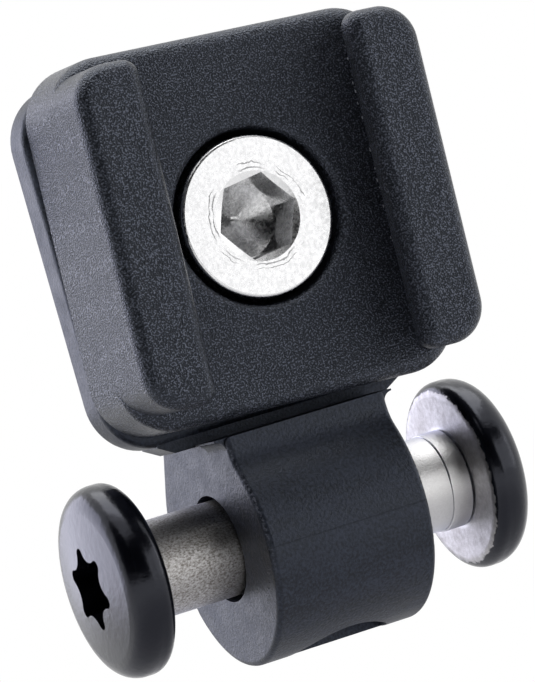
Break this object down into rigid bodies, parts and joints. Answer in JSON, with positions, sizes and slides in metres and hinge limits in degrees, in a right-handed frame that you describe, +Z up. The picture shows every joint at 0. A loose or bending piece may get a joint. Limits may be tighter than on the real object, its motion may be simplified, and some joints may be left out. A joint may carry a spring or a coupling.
{
  "type": "stem cap mount adapter",
  "caption": "Slotted rail plate clamped by a cap screw to a pivot bracket, whose round boss turns on a sleeve bolt between the lugs of a bicycle stem cap.",
  "frame": {"origin": "centre of the boss on the pivot axis", "axes": "+X along the pivot axis towards the screw's head, -Y out of the rail plate's slotted face, +Z up from the pivot to the rail plate"},
  "size_m": [0.0241, 0.0169, 0.0328],
  "materials": {
    "grained_nylon": "black glass-filled nylon with an eroded mould grain",
    "satin_nylon": "black glass-filled nylon with a smooth satin mould face",
    "bright_steel": "bright plated steel, cold headed",
    "plated_steel": "zinc-plated steel",
    "sleeve_steel": "tumbled bare steel sleeve with a glossy black painted head",
    "painted_steel": "glossy black paint, bare under the head"
  },
  "bodies": {
    "pivot_sleeve": {"sleeve_nut": "sleeve_steel"},
    "pivot_screw": {"pivot_screw": "painted_steel"},
    "bracket": {"bracket": "satin_nylon", "clamp_nut": "plated_steel"},
    "rail_plate": {"rail_plate": "grained_nylon"},
    "clamp_screw": {"clamp_screw": "bright_steel"}
  },
  "joints": [
    {"name": "tilt", "type": "hinge", "parent": "pivot_sleeve", "child": "bracket", "pos_m": [0, 0, 0], "axis": [1, 0, 0], "continuous": true},
    {"name": "swivel", "type": "hinge", "parent": "bracket", "child": "rail_plate", "pos_m": [0, 0, 0.0162], "axis": [0, 1, 0], "range_deg": [-9.5, 4.6]},
    {"name": "clamp_turn", "type": "hinge", "parent": "bracket", "child": "clamp_screw", "pos_m": [0, 0, 0.0162], "axis": [0, 1, 0], "continuous": true},
    {"name": "bolt_release", "type": "slide", "parent": "pivot_sleeve", "child": "pivot_screw", "axis": [1, 0, 0], "range_m": [0, 0.0095]}
  ]
}
